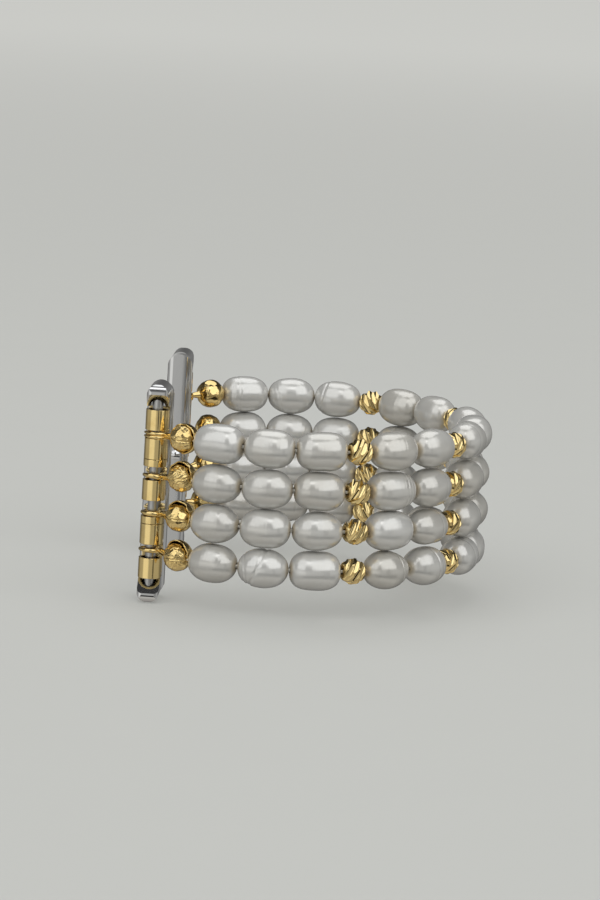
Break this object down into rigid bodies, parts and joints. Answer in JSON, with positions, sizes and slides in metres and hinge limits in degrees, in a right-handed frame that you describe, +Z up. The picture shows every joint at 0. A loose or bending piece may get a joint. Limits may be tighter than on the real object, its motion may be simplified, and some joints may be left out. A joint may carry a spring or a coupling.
{
  "type": "pearl watch band",
  "caption": "Multi-strand watch band of drilled pearls and cut gold spacer beads, gathered by clamshell bead tips onto spring bars in slide-in steel case connectors.",
  "frame": {"origin": "middle of the footprint, at the connectors' lower ends", "axes": "+X from the connectors to the middle row of pearls, +Y from the front connector to the back one, +Z up along the spring bars"},
  "size_m": [0.0525, 0.0626, 0.0333],
  "materials": {
    "pearl": "nacre, soft lustre",
    "cut_gold": "polished, cut with slanting oval facets",
    "hammered_gold": "hammered, bright",
    "rolled_gold": "polished, rolled",
    "crimp_metal": "plain",
    "polished_steel": "mirror polished",
    "bar_steel": "drawn, satin",
    "spring_steel": "drawn wire",
    "cord": "smooth elastic cord"
  },
  "bodies": {
    "middle_row": {"pearl_row_7": "pearl", "cord_1": "cord", "cord_2": "cord", "cord_3": "cord", "cord_4": "cord"},
    "row_6": {"pearl_row_6": "pearl"},
    "spacers_2": {"spacer_row_2": "cut_gold"},
    "row_5": {"pearl_row_5": "pearl"},
    "row_4": {"pearl_row_4": "pearl"},
    "spacers_1": {"spacer_row_1": "cut_gold"},
    "row_3": {"pearl_row_3": "pearl"},
    "row_2": {"pearl_row_2": "pearl"},
    "row_1": {"pearl_row_1": "pearl"},
    "tips_front": {"bead_tip_1_front": "hammered_gold", "bead_tip_2_front": "hammered_gold", "bead_tip_3_front": "hammered_gold", "bead_tip_4_front": "hammered_gold", "crimp_beads_front": "crimp_metal"},
    "connector_body_front": {"connector_front": "polished_steel", "spring_bar_front": "bar_steel", "bar_spring_front": "spring_steel", "lock_spring_front": "spring_steel"},
    "sleeve_1_front_body": {"sleeve_1_front": "rolled_gold"},
    "sleeve_2_front_body": {"sleeve_2_front": "rolled_gold"},
    "sleeve_3_front_body": {"sleeve_3_front": "rolled_gold"},
    "sleeve_4_front_body": {"sleeve_4_front": "rolled_gold"},
    "sleeve_5_front_body": {"sleeve_5_front": "rolled_gold"},
    "collar_1_front_body": {"collar_1_front": "rolled_gold"},
    "collar_2_front_body": {"collar_2_front": "rolled_gold"},
    "pivot_upper_front": {"bar_pivot_upper_front": "bar_steel"},
    "pivot_lower_front": {"bar_pivot_lower_front": "bar_steel"},
    "lock_button_front_body": {"lock_button_front": "polished_steel"},
    "row_8": {"pearl_row_8": "pearl"},
    "spacers_3": {"spacer_row_3": "cut_gold"},
    "row_9": {"pearl_row_9": "pearl"},
    "row_10": {"pearl_row_10": "pearl"},
    "spacers_4": {"spacer_row_4": "cut_gold"},
    "row_11": {"pearl_row_11": "pearl"},
    "row_12": {"pearl_row_12": "pearl"},
    "row_13": {"pearl_row_13": "pearl"},
    "tips_back": {"bead_tip_1_back": "hammered_gold", "bead_tip_2_back": "hammered_gold", "bead_tip_3_back": "hammered_gold", "bead_tip_4_back": "hammered_gold", "crimp_beads_back": "crimp_metal"},
    "connector_body_back": {"connector_back": "polished_steel", "spring_bar_back": "bar_steel", "bar_spring_back": "spring_steel", "lock_spring_back": "spring_steel"},
    "sleeve_1_back_body": {"sleeve_1_back": "rolled_gold"},
    "sleeve_2_back_body": {"sleeve_2_back": "rolled_gold"},
    "sleeve_3_back_body": {"sleeve_3_back": "rolled_gold"},
    "sleeve_4_back_body": {"sleeve_4_back": "rolled_gold"},
    "sleeve_5_back_body": {"sleeve_5_back": "rolled_gold"},
    "collar_1_back_body": {"collar_1_back": "rolled_gold"},
    "collar_2_back_body": {"collar_2_back": "rolled_gold"},
    "pivot_upper_back": {"bar_pivot_upper_back": "bar_steel"},
    "pivot_lower_back": {"bar_pivot_lower_back": "bar_steel"},
    "lock_button_back_body": {"lock_button_back": "polished_steel"}
  },
  "joints": [
    {"name": "front_arm_unroll", "type": "hinge", "parent": "middle_row", "child": "row_6", "pos_m": [0.0233, -0.0039, 0.01663], "axis": [0, 0, 1], "range_deg": [-2.3, 15.6], "deforming": ["cord_1", "cord_2", "cord_3", "cord_4"]},
    {"name": "front_bend_spacers_2", "type": "hinge", "parent": "row_6", "child": "spacers_2", "pos_m": [0.02121, -0.01141, 0.01663], "axis": [0, 0, 1], "range_deg": [-1.72, 11.61]},
    {"name": "front_bend_row_5", "type": "hinge", "parent": "spacers_2", "child": "row_5", "pos_m": [0.01947, -0.01479, 0.01663], "axis": [0, 0, 1], "range_deg": [-1.72, 11.61]},
    {"name": "front_bend_row_4", "type": "hinge", "parent": "row_5", "child": "row_4", "pos_m": [0.01458, -0.02087, 0.01663], "axis": [0, 0, 1], "range_deg": [-2.31, 15.61]},
    {"name": "front_bend_spacers_1", "type": "hinge", "parent": "row_4", "child": "spacers_1", "pos_m": [0.00824, -0.02541, 0.01663], "axis": [0, 0, 1], "range_deg": [-1.72, 11.61]},
    {"name": "front_bend_row_3", "type": "hinge", "parent": "spacers_1", "child": "row_3", "pos_m": [0.00477, -0.02696, 0.01663], "axis": [0, 0, 1], "range_deg": [-1.72, 11.61]},
    {"name": "front_bend_row_2", "type": "hinge", "parent": "row_3", "child": "row_2", "pos_m": [-0.00285, -0.02863, 0.01663], "axis": [0, 0, 1], "range_deg": [-2.31, 15.61]},
    {"name": "front_bend_row_1", "type": "hinge", "parent": "row_2", "child": "row_1", "pos_m": [-0.01064, -0.0282, 0.01663], "axis": [0, 0, 1], "range_deg": [-2.31, 15.61]},
    {"name": "front_bend_tips", "type": "hinge", "parent": "row_1", "child": "tips_front", "pos_m": [-0.01802, -0.02568, 0.01663], "axis": [0, 0, 1], "range_deg": [-2.66, 17.97]},
    {"name": "front_connector_swing", "type": "hinge", "parent": "tips_front", "child": "connector_body_front", "pos_m": [-0.02425, -0.02103, 0.01663], "axis": [0, 0, 1], "range_deg": [-36.7, 143.2]},
    {"name": "front_sleeve_1_spin", "type": "hinge", "parent": "connector_body_front", "child": "sleeve_1_front_body", "pos_m": [-0.02425, -0.02103, 0.01663], "axis": [0, 0, 1], "continuous": true},
    {"name": "front_sleeve_2_spin", "type": "hinge", "parent": "connector_body_front", "child": "sleeve_2_front_body", "pos_m": [-0.02425, -0.02103, 0.01663], "axis": [0, 0, 1], "continuous": true},
    {"name": "front_sleeve_3_spin", "type": "hinge", "parent": "connector_body_front", "child": "sleeve_3_front_body", "pos_m": [-0.02425, -0.02103, 0.01663], "axis": [0, 0, 1], "continuous": true},
    {"name": "front_sleeve_4_spin", "type": "hinge", "parent": "connector_body_front", "child": "sleeve_4_front_body", "pos_m": [-0.02425, -0.02103, 0.01663], "axis": [0, 0, 1], "continuous": true},
    {"name": "front_sleeve_5_spin", "type": "hinge", "parent": "connector_body_front", "child": "sleeve_5_front_body", "pos_m": [-0.02425, -0.02103, 0.01663], "axis": [0, 0, 1], "continuous": true},
    {"name": "front_collar_1_spin", "type": "hinge", "parent": "connector_body_front", "child": "collar_1_front_body", "pos_m": [-0.02425, -0.02103, 0.01663], "axis": [0, 0, 1], "continuous": true},
    {"name": "front_collar_2_spin", "type": "hinge", "parent": "connector_body_front", "child": "collar_2_front_body", "pos_m": [-0.02425, -0.02103, 0.01663], "axis": [0, 0, 1], "continuous": true},
    {"name": "front_upper_pivot_push", "type": "slide", "parent": "connector_body_front", "child": "pivot_upper_front", "axis": [0, 0, -1], "range_m": [0, 0.001], "stiffness_N_per_m": 800, "deforming": ["bar_spring_front"]},
    {"name": "front_lower_pivot_push", "type": "slide", "parent": "connector_body_front", "child": "pivot_lower_front", "axis": [0, 0, 1], "range_m": [0, 0.001], "stiffness_N_per_m": 800, "deforming": ["bar_spring_front"]},
    {"name": "front_lock_button_push", "type": "slide", "parent": "connector_body_front", "child": "lock_button_front_body", "axis": [0, -1, 0], "range_m": [0, 0.0006], "stiffness_N_per_m": 500, "deforming": ["lock_spring_front"]},
    {"name": "back_arm_unroll", "type": "hinge", "parent": "middle_row", "child": "row_8", "pos_m": [0.0233, 0.0039, 0.01663], "axis": [0, 0, -1], "range_deg": [-2.3, 15.6], "deforming": ["cord_1", "cord_2", "cord_3", "cord_4"]},
    {"name": "back_bend_spacers_3", "type": "hinge", "parent": "row_8", "child": "spacers_3", "pos_m": [0.02121, 0.01141, 0.01663], "axis": [0, 0, -1], "range_deg": [-1.72, 11.61]},
    {"name": "back_bend_row_9", "type": "hinge", "parent": "spacers_3", "child": "row_9", "pos_m": [0.01947, 0.01479, 0.01663], "axis": [0, 0, -1], "range_deg": [-1.72, 11.61]},
    {"name": "back_bend_row_10", "type": "hinge", "parent": "row_9", "child": "row_10", "pos_m": [0.01458, 0.02087, 0.01663], "axis": [0, 0, -1], "range_deg": [-2.31, 15.61]},
    {"name": "back_bend_spacers_4", "type": "hinge", "parent": "row_10", "child": "spacers_4", "pos_m": [0.00824, 0.02541, 0.01663], "axis": [0, 0, -1], "range_deg": [-1.72, 11.61]},
    {"name": "back_bend_row_11", "type": "hinge", "parent": "spacers_4", "child": "row_11", "pos_m": [0.00477, 0.02696, 0.01663], "axis": [0, 0, -1], "range_deg": [-1.72, 11.61]},
    {"name": "back_bend_row_12", "type": "hinge", "parent": "row_11", "child": "row_12", "pos_m": [-0.00285, 0.02863, 0.01663], "axis": [0, 0, -1], "range_deg": [-2.31, 15.61]},
    {"name": "back_bend_row_13", "type": "hinge", "parent": "row_12", "child": "row_13", "pos_m": [-0.01064, 0.0282, 0.01663], "axis": [0, 0, -1], "range_deg": [-2.31, 15.61]},
    {"name": "back_bend_tips", "type": "hinge", "parent": "row_13", "child": "tips_back", "pos_m": [-0.01802, 0.02568, 0.01663], "axis": [0, 0, -1], "range_deg": [-2.66, 17.97]},
    {"name": "back_connector_swing", "type": "hinge", "parent": "tips_back", "child": "connector_body_back", "pos_m": [-0.02425, 0.02103, 0.01663], "axis": [0, 0, -1], "range_deg": [-36.7, 143.2]},
    {"name": "back_sleeve_1_spin", "type": "hinge", "parent": "connector_body_back", "child": "sleeve_1_back_body", "pos_m": [-0.02425, 0.02103, 0.01663], "axis": [0, 0, 1], "continuous": true},
    {"name": "back_sleeve_2_spin", "type": "hinge", "parent": "connector_body_back", "child": "sleeve_2_back_body", "pos_m": [-0.02425, 0.02103, 0.01663], "axis": [0, 0, 1], "continuous": true},
    {"name": "back_sleeve_3_spin", "type": "hinge", "parent": "connector_body_back", "child": "sleeve_3_back_body", "pos_m": [-0.02425, 0.02103, 0.01663], "axis": [0, 0, 1], "continuous": true},
    {"name": "back_sleeve_4_spin", "type": "hinge", "parent": "connector_body_back", "child": "sleeve_4_back_body", "pos_m": [-0.02425, 0.02103, 0.01663], "axis": [0, 0, 1], "continuous": true},
    {"name": "back_sleeve_5_spin", "type": "hinge", "parent": "connector_body_back", "child": "sleeve_5_back_body", "pos_m": [-0.02425, 0.02103, 0.01663], "axis": [0, 0, 1], "continuous": true},
    {"name": "back_collar_1_spin", "type": "hinge", "parent": "connector_body_back", "child": "collar_1_back_body", "pos_m": [-0.02425, 0.02103, 0.01663], "axis": [0, 0, 1], "continuous": true},
    {"name": "back_collar_2_spin", "type": "hinge", "parent": "connector_body_back", "child": "collar_2_back_body", "pos_m": [-0.02425, 0.02103, 0.01663], "axis": [0, 0, 1], "continuous": true},
    {"name": "back_upper_pivot_push", "type": "slide", "parent": "connector_body_back", "child": "pivot_upper_back", "axis": [0, 0, -1], "range_m": [0, 0.001], "stiffness_N_per_m": 800, "deforming": ["bar_spring_back"]},
    {"name": "back_lower_pivot_push", "type": "slide", "parent": "connector_body_back", "child": "pivot_lower_back", "axis": [0, 0, 1], "range_m": [0, 0.001], "stiffness_N_per_m": 800, "deforming": ["bar_spring_back"]},
    {"name": "back_lock_button_push", "type": "slide", "parent": "connector_body_back", "child": "lock_button_back_body", "axis": [0, 1, 0], "range_m": [0, 0.0006], "stiffness_N_per_m": 500, "deforming": ["lock_spring_back"]}
  ],
  "couplings": [
    {"joint": "front_bend_spacers_2", "follows": "front_arm_unroll", "ratio": 0.74359},
    {"joint": "front_bend_row_5", "follows": "front_arm_unroll", "ratio": 0.74359},
    {"joint": "front_bend_row_4", "follows": "front_arm_unroll", "ratio": 1},
    {"joint": "front_bend_spacers_1", "follows": "front_arm_unroll", "ratio": 0.74359},
    {"joint": "front_bend_row_3", "follows": "front_arm_unroll", "ratio": 0.74359},
    {"joint": "front_bend_row_2", "follows": "front_arm_unroll", "ratio": 1},
    {"joint": "front_bend_row_1", "follows": "front_arm_unroll", "ratio": 1},
    {"joint": "front_bend_tips", "follows": "front_arm_unroll", "ratio": 1.1513},
    {"joint": "back_bend_spacers_3", "follows": "back_arm_unroll", "ratio": 0.74359},
    {"joint": "back_bend_row_9", "follows": "back_arm_unroll", "ratio": 0.74359},
    {"joint": "back_bend_row_10", "follows": "back_arm_unroll", "ratio": 1},
    {"joint": "back_bend_spacers_4", "follows": "back_arm_unroll", "ratio": 0.74359},
    {"joint": "back_bend_row_11", "follows": "back_arm_unroll", "ratio": 0.74359},
    {"joint": "back_bend_row_12", "follows": "back_arm_unroll", "ratio": 1},
    {"joint": "back_bend_row_13", "follows": "back_arm_unroll", "ratio": 1},
    {"joint": "back_bend_tips", "follows": "back_arm_unroll", "ratio": 1.1513}
  ]
}
